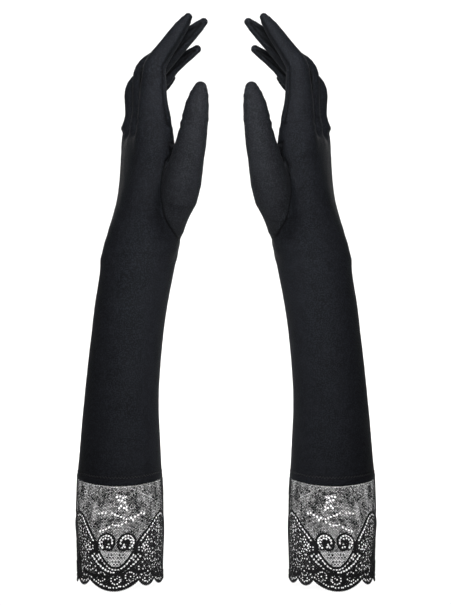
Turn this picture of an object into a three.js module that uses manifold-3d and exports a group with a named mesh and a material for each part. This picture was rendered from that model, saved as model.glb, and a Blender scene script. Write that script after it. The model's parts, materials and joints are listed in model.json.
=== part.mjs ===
// A pair of black stretch opera gloves with lace cuffs, standing as if worn: fingers up, palms
// facing each other, the cuff's lace edge at the bottom. Millimetres, +Z up. Each glove is drawn
// as a left glove with its arm opening round x = 0 and its palm to +X; the right one is its mirror.
import * as THREE from 'three';
import { mergeVertices } from 'three/addons/utils/BufferGeometryUtils.js';
import Module from 'manifold-3d';

const wasm = await Module();
wasm.setup();

// ---- driving dimensions ----
const ARM_SPACING = 170;      // between the two arm openings' centres
const WALL = 1.2;             // the model's wall for the stretch fabric
const LACE_WALL = 0.9;        // the lace cuff's wall
const GAP = 0.3;              // between pieces that touch
const HEM_Z = 84;             // the seam where fabric meets lace
const WRIST_LOW_Z = 250;      // the flexing stretch of the wrist
const WRIST_HIGH_Z = 274;
const KNUCKLE_Z = 362;        // top of the palm, where the fingers start
const BEND_REACH = 8.2;       // half the length of fabric that creases at a finger's middle joint
const THUMB_LOW_Z = 276;      // bottom of the set-in thumb panel
const THUMB_BEND_Z = 354;     // the thumb's own knuckle, level with its crotch
const THUMB_BEND_REACH = 4;
const BODY_SIDES = 24;        // facets round an arm or hand
const FINGER_SIDES = 14;      // facets round a finger
const PALM_LEAN = -0.2;       // the knuckle row's slant: the index side stands further to the palm
const PALM_SQUARE = 3;        // how square the palm's cross-section is; 2 is an ellipse
const STRIP = 0.7;            // a fourchette's thickness
const SEAM_WIDTH = 3;         // the felled seam inside the arm
const SEAM_THICK = 0.8;
const SEAM_CLEAR = 0.5;
const TAPE_THICK = 0.8;       // the tape inside the cuff's joining seam
const TAPE_INSET = 1.6;

// ---- materials, near-black satin stretch fabric and matt lace ----
const cloth = (color, roughness) => new THREE.MeshStandardMaterial({ color, roughness, metalness: 0 });
const fabric = () => cloth(0x24272c, 0.62);
const panel = () => cloth(0x2b2e34, 0.6);
const lace = () => cloth(0x131417, 0.85);
const thread = () => cloth(0x0d0e10, 0.75);

// ---- cross-sections ----
// A section has a centre, half its thickness (back to palm) and half its width (thumb side to
// little-finger side); tilt turns it about Y, lean slants it and square makes it boxier.
function section(x, y, z, thick, wide, more = {}) {
  return { x, y, z, thick, wide, tilt: 0, lean: 0, square: 2, ...more };
}

function ringPoints(s, inset, sides) {
  const points = [];
  const power = 2 / s.square;
  for (let k = 0; k < sides; k += 1) {
    const angle = (2 * Math.PI * k) / sides;
    const c = Math.cos(angle);
    const n = Math.sin(angle);
    const wide = (s.wide - inset) * Math.sign(n) * Math.abs(n) ** power;
    const thick = (s.thick - inset) * Math.sign(c) * Math.abs(c) ** power + s.lean * wide;
    points.push([s.x + thick * Math.cos(s.tilt), s.y + wide, s.z - thick * Math.sin(s.tilt)]);
  }
  return points;
}

// A section moved along its own axis, for cutting past an open end
function moved(s, distance) {
  return { ...s, x: s.x + distance * Math.sin(s.tilt), z: s.z + distance * Math.cos(s.tilt) };
}

function geometryFrom(points, faces) {
  const geometry = new THREE.BufferGeometry();
  geometry.setAttribute('position', new THREE.Float32BufferAttribute(points.flat(), 3));
  geometry.setIndex(faces.flat());
  return geometry;
}

// Faces of a wall between two rings, looking out
function wallFaces(low, high, sides) {
  const faces = [];
  for (let k = 0; k < sides; k += 1) {
    const next = (k + 1) % sides;
    faces.push([low + k, low + next, high + next], [low + k, high + next, high + k]);
  }
  return faces;
}

function fan(start, pole, sides, up) {
  const faces = [];
  for (let k = 0; k < sides; k += 1) {
    const next = (k + 1) % sides;
    faces.push(up ? [start + k, start + next, pole] : [start + next, start + k, pole]);
  }
  return faces;
}

// A solid body through the sections
function loft(sections, sides, inset = 0) {
  const points = sections.flatMap((s) => ringPoints(s, inset, sides));
  const faces = [];
  for (let i = 0; i + 1 < sections.length; i += 1) {
    faces.push(...wallFaces(i * sides, (i + 1) * sides, sides));
  }
  const last = sections.length - 1;
  points.push([sections[0].x, sections[0].y, sections[0].z]);
  points.push([sections[last].x, sections[last].y, sections[last].z]);
  faces.push(...fan(0, points.length - 2, sides, false));
  faces.push(...fan(last * sides, points.length - 1, sides, true));
  return geometryFrom(points, faces);
}

// A thin-walled tube through the sections, open at the bottom and, unless it is capped, at the top
function tube(sections, sides, wall, capped = false) {
  const count = sections.length;
  const outside = sections.flatMap((s) => ringPoints(s, 0, sides));
  const lined = capped ? sections.slice(0, -1) : sections;
  const inside = lined.flatMap((s) => ringPoints(s, wall, sides));
  const points = [...outside, ...inside];
  const firstInside = count * sides;
  const faces = [];
  for (let i = 0; i + 1 < count; i += 1) {
    faces.push(...wallFaces(i * sides, (i + 1) * sides, sides));
  }
  for (let i = 0; i + 1 < lined.length; i += 1) {
    const low = firstInside + i * sides;
    faces.push(...wallFaces(low, low + sides, sides).map((f) => [f[0], f[2], f[1]]));
  }
  faces.push(...wallFaces(firstInside, 0, sides));
  const topOutside = (count - 1) * sides;
  const topInside = firstInside + (lined.length - 1) * sides;
  if (capped) {
    const tip = sections[count - 1];
    const lining = moved(tip, -wall);
    points.push([tip.x, tip.y, tip.z], [lining.x, lining.y, lining.z]);
    faces.push(...fan(topOutside, points.length - 2, sides, true));
    faces.push(...fan(topInside, points.length - 1, sides, false));
  } else {
    faces.push(...wallFaces(topOutside, topInside, sides));
  }
  return geometryFrom(points, faces);
}

// ---- joining and cutting ----
function solidOf(geometry) {
  const bare = geometry.clone();
  bare.deleteAttribute('normal');
  bare.deleteAttribute('uv');
  const merged = mergeVertices(bare);
  return new wasm.Manifold(new wasm.Mesh({
    numProp: 3,
    vertProperties: new Float32Array(merged.attributes.position.array),
    triVerts: new Uint32Array(merged.index.array),
  }));
}

function geometryOf(solid) {
  const mesh = solid.getMesh();
  const geometry = new THREE.BufferGeometry();
  geometry.setAttribute('position', new THREE.BufferAttribute(mesh.vertProperties, 3));
  geometry.setIndex(new THREE.BufferAttribute(mesh.triVerts, 1));
  return geometry;
}

// ---- the arm: height, centre, half thickness, half width ----
const armSections = [
  section(-0.2, 0, HEM_Z, 34.5, 34.2),
  section(0.2, 0, 116, 32.1, 32.0),
  section(1.1, 0, 148, 29.9, 30.2),
  section(3.1, 0, 173, 29.2, 29.0),
  section(5.7, 0, 201, 28.9, 28.2),
  section(8.7, 0, 224, 29.1, 27.6),
  section(13.4, 0, WRIST_LOW_Z - GAP, 29.6, 27.4),
];
const wristSections = [
  section(13.4, 0, WRIST_LOW_Z, 29.6, 27.4),
  section(15.5, 0, (WRIST_LOW_Z + WRIST_HIGH_Z) / 2, 29.4, 27.8),
  section(17.7, 0, WRIST_HIGH_Z - GAP, 28.9, 28.6),
];
const laceSections = [
  section(0.0, 0, 0, 33.9, 33.8),
  section(-0.1, 0, 30, 34.6, 34.3),
  section(-0.3, 0, 66, 35.0, 34.7),
  section(-0.2, 0, HEM_Z - GAP, 34.6, 34.3),
];

// ---- the hand ----
const palm = (share) => ({ lean: PALM_LEAN * share, square: 2 + (PALM_SQUARE - 2) * share });
const handSections = [
  section(17.7, 0, WRIST_HIGH_Z, 28.9, 28.6, palm(0.0)),
  section(19.4, 0, 285, 27.6, 30.2, palm(0.1)),
  section(20.8, 0, 296, 25.8, 32.6, palm(0.25)),
  section(22.2, 0, 313, 22.6, 35.8, palm(0.6)),
  section(22.8, 0, 333, 19.6, 38.0, palm(0.9)),
  section(22.4, 0, 350, 17.6, 38.4, palm(1.0)),
  section(22.0, 0, KNUCKLE_Z - 0.5, 16.5, 38.3, palm(1.0)),
];

// ---- the thumb: the set-in panel over the ball of the thumb, then its stall ----
const thumbPanelSections = [
  section(39.0, -18, THUMB_LOW_Z, 7.5, 7.0),
  section(43.0, -25, 287, 10.5, 11.0),
  section(47.5, -33, 300, 14.0, 14.0),
  section(50.0, -37.5, 309, 15.5, 15.5),
  section(51.2, -41.2, 320, 15.6, 15.2),
  section(52.8, -44.2, 331, 14.9, 14.0),
  section(55.6, -46.8, 342, 13.2, 12.4),
  section(58.0, -48.2, THUMB_BEND_Z - THUMB_BEND_REACH - GAP, 12.1, 11.3),
];
const thumbBendSections = [
  section(58.0, -48.2, THUMB_BEND_Z - THUMB_BEND_REACH, 12.1, 11.3),
  section(59.0, -48.8, THUMB_BEND_Z, 11.4, 10.8),
  section(59.8, -49.1, THUMB_BEND_Z + THUMB_BEND_REACH - GAP, 10.9, 10.5),
];
const thumbTipSections = [
  section(59.8, -49.1, THUMB_BEND_Z + THUMB_BEND_REACH, 10.9, 10.5),
  section(61.0, -49.3, 369, 10.3, 10.2),
  section(62.6, -49.3, 380, 9.0, 9.3),
  section(64.6, -49.2, 388, 6.9, 7.4),
  section(65.9, -49.1, 393.5, 4.4, 4.8),
  section(66.6, -49.1, 396.5, 1.6, 1.8),
];

// ---- the fingers ----
// y is a finger's place across the hand; base, bend and tip are the centres [x, z] of its knuckle,
// its middle joint and its tip; thick is its half thickness at each; wide is its half width.
const fingers = {
  index: {
    y: -28.8,
    base: [26.3, KNUCKLE_Z],
    bend: [28.7, 413],
    tip: [56.4, 451],
    thick: [9.2, 9.3, 6.3],
    wide: 8.2,
  },
  middle: {
    y: -9.6,
    base: [20.7, KNUCKLE_Z],
    bend: [22.8, 410],
    tip: [69.5, 453],
    thick: [10.0, 9.5, 6.5],
    wide: 8.4,
  },
  ring: {
    y: 9.4,
    base: [15.2, KNUCKLE_Z],
    bend: [16.0, 399],
    tip: [64.0, 435],
    thick: [9.2, 8.9, 6.1],
    wide: 8.1,
  },
  little: {
    y: 27.4,
    base: [13.2, KNUCKLE_Z],
    bend: [14.0, 388],
    tip: [44.4, 413],
    thick: [8.3, 7.9, 5.5],
    wide: 7.3,
  },
};
const fourchetteSides = { index: [1], middle: [-1, 1], ring: [-1, 1], little: [-1] };

const tiltOf = (from, to) => Math.atan2(to[0] - from[0], to[1] - from[1]);
const lengthOf = (from, to) => Math.hypot(to[0] - from[0], to[1] - from[1]);

function pointOn(from, to, distance) {
  const tilt = tiltOf(from, to);
  return [from[0] + distance * Math.sin(tilt), from[1] + distance * Math.cos(tilt)];
}

function fingerBaseSections(f) {
  const tilt = tiltOf(f.base, f.bend);
  const length = lengthOf(f.base, f.bend) - BEND_REACH;
  const share = [GAP / length, 0.5, 1 - GAP / length];
  return share.map((t) => {
    const [x, z] = pointOn(f.base, f.bend, t * length);
    return section(x, f.y, z, THREE.MathUtils.lerp(f.thick[0], f.thick[1], t), f.wide, { tilt });
  });
}

function fingerBendSections(f) {
  const low = tiltOf(f.base, f.bend);
  const high = tiltOf(f.bend, f.tip);
  const start = pointOn(f.bend, f.base, BEND_REACH);
  const end = pointOn(f.bend, f.tip, BEND_REACH - GAP);
  const middle = [0, 1].map((k) => 0.5 * f.bend[k] + 0.25 * (start[k] + end[k]));
  return [
    section(start[0], f.y, start[1], f.thick[1], f.wide, { tilt: low }),
    section(middle[0], f.y, middle[1], f.thick[1], f.wide, { tilt: (low + high) / 2 }),
    section(end[0], f.y, end[1], f.thick[1], f.wide, { tilt: high }),
  ];
}

// The far half of a finger: it tapers from the middle joint, then rounds off at the tip
function fingerTipSections(f) {
  const tilt = tiltOf(f.bend, f.tip);
  const full = lengthOf(f.bend, f.tip);
  const round = f.thick[2];
  const straight = full - round;
  const sections = [BEND_REACH, 0.55 * straight, straight].map((distance) => {
    const [x, z] = pointOn(f.bend, f.tip, distance);
    const t = distance / straight;
    const wide = THREE.MathUtils.lerp(f.wide, f.thick[2] * 1.05, t ** 1.5);
    return section(x, f.y, z, THREE.MathUtils.lerp(f.thick[1], f.thick[2], t), wide, { tilt });
  });
  const cap = sections[2];
  for (const angle of [35, 62, 80]) {
    const turn = THREE.MathUtils.degToRad(angle);
    const [x, z] = pointOn(f.bend, f.tip, straight + round * Math.sin(turn));
    sections.push(section(x, f.y, z, cap.thick * Math.cos(turn), cap.wide * Math.cos(turn), { tilt }));
  }
  return sections;
}

// A fourchette: the flat strip let in along a finger's side, from the web to the middle joint
function fourchette(f, side) {
  const tilt = tiltOf(f.base, f.bend);
  const length = lengthOf(f.base, f.bend) - BEND_REACH - 1.5;
  const low = 0.34 * f.thick[0];
  const high = 0.5 * f.thick[1];
  const outline = new THREE.Shape();
  outline.moveTo(-low, 2);
  outline.lineTo(low, 2);
  outline.lineTo(high, 0.6 * length);
  outline.lineTo(0.8 * high, length);
  outline.lineTo(-0.8 * high, length);
  outline.lineTo(-high, 0.6 * length);
  const strip = new THREE.ExtrudeGeometry(outline, { depth: STRIP, bevelEnabled: false });
  strip.rotateX(Math.PI / 2);
  strip.rotateY(tilt);
  const inner = f.wide + GAP;
  strip.translate(f.base[0], f.y + side * inner + (side > 0 ? STRIP : 0), f.base[1]);
  return strip;
}

// The arm's closing seam: a narrow felled strip inside the little-finger side
function armSeam() {
  const strip = armSections.map((s) => {
    const y = s.wide - WALL - SEAM_CLEAR - SEAM_THICK / 2;
    return section(s.x, y, s.z, SEAM_WIDTH / 2, SEAM_THICK / 2);
  });
  strip[0] = { ...strip[0], z: HEM_Z + 4 };
  return loft(strip, 8);
}

// The seam tape that joins lace to fabric, a ring just inside both
function cuffSeam() {
  const s = armSections[0];
  const ringLow = section(s.x, 0, HEM_Z - 2.5, s.thick - TAPE_INSET, s.wide - TAPE_INSET);
  const ringHigh = section(s.x, 0, HEM_Z + 2.5, ringLow.thick - 0.2, ringLow.wide - 0.2);
  return tube([ringLow, ringHigh], BODY_SIDES, TAPE_THICK);
}

// Sections for a cutter: past both ends, or past the top only
function openEnded(sections) {
  const last = sections.length - 1;
  return sections.map((s, i) => {
    if (i === 0) {
      return moved(s, -1);
    }
    return i === last ? moved(s, 1) : s;
  });
}

function openTopped(sections) {
  const last = sections.length - 1;
  return sections.map((s, i) => (i === last ? moved(s, 1) : s));
}

// ---- one glove ----
function glove(side) {
  const group = new THREE.Group();
  const add = (name, geometry, material) => {
    const mesh = new THREE.Mesh(geometry, material);
    mesh.name = `${side}_${name}`;
    group.add(mesh);
  };

  add('lace_cuff', tube(laceSections, BODY_SIDES, LACE_WALL), lace());
  add('arm', tube(armSections, BODY_SIDES, WALL), fabric());
  add('wrist', tube(wristSections, BODY_SIDES, WALL), fabric());
  add('cuff_seam', cuffSeam(), thread());
  add('arm_seam', armSeam(), thread());

  const handOuter = solidOf(loft(handSections, BODY_SIDES));
  const handInner = solidOf(loft(openEnded(handSections), BODY_SIDES, WALL));
  const handClear = solidOf(loft(openEnded(handSections), BODY_SIDES, -GAP));
  const thumbOuter = solidOf(loft(thumbPanelSections, FINGER_SIDES));
  const thumbInner = solidOf(loft(openTopped(thumbPanelSections), FINGER_SIDES, WALL));
  add('hand', geometryOf(handOuter.subtract(handInner).subtract(thumbInner)), fabric());
  add('thumb_panel', geometryOf(thumbOuter.subtract(thumbInner).subtract(handClear)), panel());
  add('thumb_crease', tube(thumbBendSections, FINGER_SIDES, WALL), panel());
  add('thumb_stall', tube(thumbTipSections, FINGER_SIDES, WALL, true), panel());

  for (const [name, f] of Object.entries(fingers)) {
    add(`${name}_base`, tube(fingerBaseSections(f), FINGER_SIDES, WALL), fabric());
    add(`${name}_crease`, tube(fingerBendSections(f), FINGER_SIDES, WALL), fabric());
    add(`${name}_stall`, tube(fingerTipSections(f), FINGER_SIDES, WALL, true), fabric());
    for (const edge of fourchetteSides[name]) {
      add(`${name}_fourchette_${edge < 0 ? 'thumb' : 'little'}_side`, fourchette(f, edge), panel());
    }
  }
  return group;
}

const pair = new THREE.Group();
const left = glove('left');
const right = glove('right');
left.position.x = -ARM_SPACING / 2;
right.position.x = ARM_SPACING / 2;
right.scale.x = -1;
pair.add(left, right);

// The pair stands on the lace's lowest edge, centred over the origin
const middle = new THREE.Box3().setFromObject(pair).getCenter(new THREE.Vector3());
pair.position.y = -middle.y;

export default pair;
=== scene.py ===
import json
import math

import bpy
import numpy as np
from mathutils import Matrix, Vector


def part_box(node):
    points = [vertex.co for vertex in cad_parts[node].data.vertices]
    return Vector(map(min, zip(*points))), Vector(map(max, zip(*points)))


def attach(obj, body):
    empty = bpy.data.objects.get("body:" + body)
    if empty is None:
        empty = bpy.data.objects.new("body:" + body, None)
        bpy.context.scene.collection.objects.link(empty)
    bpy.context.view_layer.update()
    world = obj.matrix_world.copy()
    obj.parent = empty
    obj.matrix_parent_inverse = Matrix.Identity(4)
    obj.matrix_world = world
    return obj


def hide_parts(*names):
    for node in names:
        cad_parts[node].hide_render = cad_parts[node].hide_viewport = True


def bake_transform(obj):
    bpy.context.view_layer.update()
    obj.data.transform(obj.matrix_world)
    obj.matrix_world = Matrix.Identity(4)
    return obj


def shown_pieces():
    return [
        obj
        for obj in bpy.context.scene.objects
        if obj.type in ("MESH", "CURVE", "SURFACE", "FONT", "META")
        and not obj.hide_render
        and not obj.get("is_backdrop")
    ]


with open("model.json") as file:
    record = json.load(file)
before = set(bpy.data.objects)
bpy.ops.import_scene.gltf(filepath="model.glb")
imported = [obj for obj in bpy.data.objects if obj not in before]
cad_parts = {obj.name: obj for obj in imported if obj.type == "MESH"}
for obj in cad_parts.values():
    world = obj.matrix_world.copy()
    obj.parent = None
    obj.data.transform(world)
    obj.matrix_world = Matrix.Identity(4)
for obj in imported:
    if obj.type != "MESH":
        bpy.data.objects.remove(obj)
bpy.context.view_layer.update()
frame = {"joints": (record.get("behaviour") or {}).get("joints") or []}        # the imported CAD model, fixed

# A pair of black stretch opera gloves with scalloped lace cuffs. Both gloves are shaped as a left
# glove in its own millimetres: x from the arm's centre towards the palm, y from the thumb side to
# the little-finger side, z up. The right glove is the mirror image.
MM = 0.001
SIDES = ("left", "right")
CUFF_LOW, CUFF_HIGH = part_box("left_lace_cuff")
ARM_X = 1000 * (CUFF_LOW[0] + CUFF_HIGH[0]) / 2 + 0.3
MID_Y = 1000 * (CUFF_LOW[1] + CUFF_HIGH[1]) / 2
HEM_Z = 1000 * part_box("left_arm")[0][2]
TURN_UP = 12.0           # how far the hem is turned up inside
JOIN_Z = 234.0           # where the plain tube of the arm meets the shaped hand
WEB_Z = 361.5            # the bottom of the gaps between the fingers
RING_Z = 365.0           # where the fingers leave the hand, just above the gaps
CELL = 1.0               # size of the skin's facets
JOINTS = {j["name"]: j for j in frame["joints"]}


def local_joint(name):
    """A left-hand joint's place in the glove's own millimetres."""
    x, y, z = (1000 * v for v in JOINTS[name]["pos_m"])
    return np.array([x - ARM_X, y - MID_Y, z])


def to_world(points, side):
    out = np.array(points, float)
    out[:, 0] += ARM_X
    out[:, 1] += MID_Y
    if side == "right":
        out[:, 0] *= -1
    return out * MM


def one_to_world(point, side):
    return tuple(to_world([point], side)[0])


def unit(v):
    return v / np.linalg.norm(v, axis=-1, keepdims=True)


# ---------------------------------------------------------------- curves and fields

def smooth_curve(xs, ys):
    """A smooth function through the points (xs, ys), flat beyond both ends."""
    xs, ys = np.array(xs, float), np.array(ys, float)
    slopes = np.gradient(ys, xs)

    def at(x):
        x = np.clip(x, xs[0], xs[-1])
        i = np.clip(np.searchsorted(xs, x, side="right") - 1, 0, len(xs) - 2)
        width = xs[i + 1] - xs[i]
        t = (x - xs[i]) / width
        rise = ys[i + 1] - ys[i]
        a = slopes[i] * width - rise
        b = -slopes[i + 1] * width + rise
        return (1 - t) * ys[i] + t * ys[i + 1] + t * (1 - t) * (a * (1 - t) + b * t)

    return at


def spline(a, b, c, d, t):
    """The smooth curve through a, b, c and d, at t of the way from b to c."""
    return 0.5 * (2 * b + (c - a) * t + (2 * a - 5 * b + 4 * c - d) * t ** 2
                  + (3 * b - a - 3 * c + d) * t ** 3)


def lengths(path):
    """The distance along a line of points to each of them."""
    return np.concatenate([[0], np.cumsum(np.linalg.norm(np.diff(path, axis=0), axis=1))])


def walk(path, at):
    """The points at the distances at along a line of points."""
    return np.stack([np.interp(at, lengths(path), row) for row in path.T], axis=1)


def smooth_min(a, b, reach):
    """The smaller of two fields, with a soft fillet where they are within reach."""
    h = np.maximum(reach - np.abs(a - b), 0) / reach
    return np.minimum(a, b) - h * h * reach / 4


def smooth_max(a, b, reach):
    return -smooth_min(-a, -b, reach)


# The arm and hand: height, centre, half thickness, half width, lean and squareness of the section
BODY_SECTIONS = [
    (84, -0.2, 34.5, 34.2, 0, 2),
    (100, -0.1, 33.2, 33.0, 0, 2),
    (116, 0.2, 32.1, 32.0, 0, 2),
    (148, 1.1, 29.9, 30.2, 0, 2),
    (173, 3.1, 29.2, 29.0, 0, 2),
    (201, 5.7, 28.9, 28.2, 0, 2),
    (224, 8.7, 29.1, 27.6, 0, 2),
    (250, 13.4, 29.6, 27.4, 0, 2),
    (262, 15.4, 30.5, 27.8, 0, 2),
    (274, 17.8, 30.4, 28.6, 0, 2),
    (285, 19.4, 28.9, 30.2, -0.02, 2.1),
    (296, 20.3, 26.5, 32.6, -0.06, 2.25),
    (313, 21.5, 23.3, 35.8, -0.12, 2.5),
    (333, 21.5, 20.5, 37.8, -0.18, 2.7),
    (350, 20.8, 18.2, 38.2, -0.22, 2.8),
    (362, 20.0, 15.0, 37.6, -0.24, 2.8),
    (376, 20.0, 10.5, 36.0, -0.24, 2.8),
]
SECTION_Z, *SECTION_SIZES = zip(*BODY_SECTIONS)
BODY = [smooth_curve(SECTION_Z, sizes) for sizes in SECTION_SIZES]


def body_field(x, y, z):
    """Below zero inside the arm and hand, roughly in millimetres."""
    centre, thick, wide, lean, square = (f(z) for f in BODY)
    across = np.abs(x - centre - lean * y) / thick
    along = np.abs(y) / wide
    size = (across ** square + along ** square) ** (1 / square)
    return smooth_max((size - 1) * np.minimum(thick, wide), z - WEB_Z, 9)


def chain_field(x, y, z, path, radii, squash):
    """Distance to a tapering bent rod; squash narrows it along y."""
    nearest = None
    for i in range(len(path) - 1):
        a, ab = path[i], path[i + 1] - path[i]
        px, py, pz = x - a[0], y - a[1], z - a[2]
        t = np.clip((px * ab[0] + py * ab[1] + pz * ab[2]) / (ab @ ab), 0, 1)
        narrow = squash[i] + t * (squash[i + 1] - squash[i])
        dx, dy, dz = px - t * ab[0], (py - t * ab[1]) * narrow, pz - t * ab[2]
        far = np.sqrt(dx * dx + dy * dy + dz * dz)
        far = far - (radii[i] + t * (radii[i + 1] - radii[i]))
        nearest = far if nearest is None else np.minimum(nearest, far)
    return nearest


# ---------------------------------------------------------------- fingers and thumb

# The tip (x, z); half thickness and half width inside the palm, at the knuckle, half way to the
# middle joint and at that joint, then at four places towards the tip; how far the base stands
# out on the palm side, from inside the palm to half way up; and the sides that have a strip,
# -1 for the thumb side and 1 for the little-finger side
FINGER_SHAPES = {
    "index": {
        "tip": (57.4, 453.8),
        "thick": (9.8, 11.2, 10.8, 8.7, 7.2, 6.4, 5.2, 3.4),
        "wide": (8.8, 8.5, 8.4, 8.0, 7.1, 6.2, 5.0, 3.6),
        "flare": (8.0, 5.6, 3.4, 1.2),
        "strips": (1,),
    },
    "middle": {
        "tip": (69.7, 452.6),
        "thick": (9.4, 10.8, 11.2, 12.0, 9.0, 6.6, 5.1, 3.4),
        "wide": (8.8, 8.5, 8.4, 8.1, 7.2, 6.3, 5.1, 3.6),
        "flare": (5.0, 3.0, 1.5, 0.4),
        "strips": (-1, 1),
    },
    "ring": {
        "tip": (64.2, 433.4),
        "thick": (9.8, 11.8, 12.0, 13.0, 10.4, 5.4, 4.2, 3.2),
        "wide": (8.6, 8.3, 8.2, 7.9, 7.0, 6.1, 4.9, 3.5),
        "flare": (4.5, 2.6, 1.2, 0.3),
        "strips": (-1, 1),
    },
    "little": {
        "tip": (43.0, 412.6),
        "thick": (9.4, 12.4, 11.6, 9.4, 7.0, 5.6, 4.4, 3.0),
        "wide": (8.0, 7.6, 7.4, 7.2, 6.3, 5.4, 4.4, 3.2),
        "flare": (4.0, 2.2, 1.0, 0.2),
        "strips": (-1,),
    },
}
TURN = 5.5               # how gradually a finger turns at its middle joint


class Finger:
    """One finger's centre line, from inside the palm to near its tip, and its size along it."""

    def __init__(self, name):
        shape = FINGER_SHAPES[name]
        self.name = name
        self.strips = shape["strips"]
        self.base = local_joint(f"left_{name}_knuckle")
        self.bend = local_joint(f"left_{name}_bend")
        self.tip = np.array([shape["tip"][0], self.base[1], shape["tip"][1]])
        self.low_way = unit(self.bend - self.base)
        self.high_way = unit(self.tip - self.bend)
        start = self.base - 12 * self.low_way
        end = self.tip - shape["thick"][-1] * self.high_way
        before, after = self.bend - TURN * self.low_way, self.bend + TURN * self.high_way
        curve = [
            (1 - t) ** 2 * before + 2 * t * (1 - t) * self.bend + t * t * after
            for t in np.linspace(0, 1, 5)
        ]
        rise = [self.base + k * (before - self.base) for k in (0, 0.25, 0.5, 0.75)]
        fall = [after + k * (end - after) for k in (0.3, 0.55, 0.75, 0.9, 1.0)]
        path = np.array([start, *rise, *curve, *fall])
        along = lengths(path)
        low, mid, high = along[1], along[7], along[-1]
        at = [0, low, low + 0.5 * (mid - low), mid]
        at += [mid + k * (high - mid) for k in (0.35, 0.65, 0.87, 1.0)]
        reach = smooth_curve([0, low, low + 10, low + 20, low + 31], [*shape["flare"], 0])
        bulge = reach(along) / 2
        self.path = path + bulge[:, None] * np.array([1.0, 0, 0])
        self.along = lengths(self.path)
        self.radii = smooth_curve(at, shape["thick"])(along) + bulge
        self.squashes = self.radii / smooth_curve(at, shape["wide"])(along)

    def squash(self, s):
        return np.interp(s, self.along, self.squashes)

    def field(self, x, y, z):
        return chain_field(x, y, z, self.path, self.radii, self.squashes)

    def frame_at(self, s):
        """The centre line's point at distance s along it, and the palmward direction there."""
        def centre(at):
            return np.stack([np.interp(at, self.along, row) for row in self.path.T], axis=1)

        way = unit(centre(s + 1) - centre(s - 1))
        return centre(s), np.stack([way[:, 2], np.zeros(len(way)), -way[:, 0]], axis=1)

    def place(self, points):
        """How far along the finger each point is, and its angle from the palm side."""
        best = np.full(len(points), 1e9)
        s = np.zeros(len(points))
        for i in range(len(self.path) - 1):
            a, b = self.path[i], self.path[i + 1]
            ab = b - a
            t = np.clip((points - a) @ ab / (ab @ ab), 0, 1)
            far = np.linalg.norm(points - a - t[:, None] * ab, axis=1)
            closer = far < best
            best[closer] = far[closer]
            s[closer] = self.along[i] + t[closer] * (self.along[i + 1] - self.along[i])
        centre, palmward = self.frame_at(s)
        off = points - centre
        angle = np.arctan2(off[:, 1] * self.squash(s), (off * palmward).sum(axis=1))
        return s, angle

    def on_skin(self, s, angle):
        """The point on the finger's skin at distance s and an angle from the palm side."""
        centre, palmward = self.frame_at(s)
        reach = np.interp(s, self.along, self.radii)[:, None]
        side = np.array([0, 1.0, 0]) * (np.sin(angle) / self.squash(s))[:, None]
        return centre + reach * (palmward * np.cos(angle)[:, None] + side)


FINGERS = [Finger(name) for name in FINGER_SHAPES]

# The thumb from the wrist to its tip: x, y, z and radius
THUMB_RODS = np.array([
    (38.2, -17.0, 273.0, 7.0),
    (42.2, -25.0, 286.0, 10.2),
    (44.6, -32.5, 298.0, 12.5),
    (48.5, -37.5, 309.0, 14.4),
    (51.1, -41.2, 320.0, 14.8),
    (53.4, -44.2, 331.0, 13.9),
    (56.0, -46.8, 342.0, 12.6),
    (58.0, -48.2, 350.0, 11.9),
    (59.6, -49.0, 358.0, 11.0),
    (61.2, -49.3, 369.0, 10.2),
    (62.6, -49.3, 379.0, 9.1),
    (63.9, -49.2, 386.0, 7.5),
    (64.7, -49.1, 390.0, 6.1),
    (65.2, -49.1, 392.8, 4.9),
])
FINGER_FLOW = 7.0        # how softly the fingers run into the palm


def thumb_field(x, y, z):
    return chain_field(x, y, z, THUMB_RODS[:, :3], THUMB_RODS[:, 3], np.ones(len(THUMB_RODS)))


def thumb_flow(z):
    """How softly the thumb runs into the hand: broadly at the wrist, tightly at its web."""
    return 12 - 8 * np.clip((z - 296) / 40, 0, 1)


def hand_field(x, y, z):
    """Below zero inside the arm, hand and fingers."""
    fingers = np.minimum.reduce([finger.field(x, y, z) for finger in FINGERS])
    return smooth_min(body_field(x, y, z), fingers, FINGER_FLOW)


def glove_field(x, y, z):
    return smooth_min(hand_field(x, y, z), thumb_field(x, y, z), thumb_flow(z))


# ---------------------------------------------------------------- a skin from the field

GRID_LOW = (-16, -66, JOIN_Z - 1)
GRID_HIGH = (82, 44, 464)
FAR = 14.0               # beyond this a finger's or the thumb's field no longer matters


def sample_field():
    """The glove's field on a grid, each finger and the thumb worked out only near itself."""
    axes = [np.arange(low, high + CELL, CELL) for low, high in zip(GRID_LOW, GRID_HIGH)]
    gx, gy, gz = np.meshgrid(*axes, indexing="ij", sparse=True)

    def rods(*chains):
        grid = np.full([len(axis) for axis in axes], FAR)
        for path, radii, field in chains:
            reach = FAR + radii.max()
            box = tuple(slice(*np.searchsorted(axis, (row.min() - reach, row.max() + reach)))
                        for axis, row in zip(axes, path.T))
            values = field(gx[box[0]], gy[:, box[1]], gz[:, :, box[2]])
            grid[box] = np.minimum(grid[box], values)
        return grid

    fingers = rods(*((f.path, f.radii, f.field) for f in FINGERS))
    hand = smooth_min(body_field(gx, gy, gz), fingers, FINGER_FLOW)
    thumb = rods((THUMB_RODS[:, :3], THUMB_RODS[:, 3], thumb_field))
    return smooth_min(hand, thumb, thumb_flow(gz))


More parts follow.
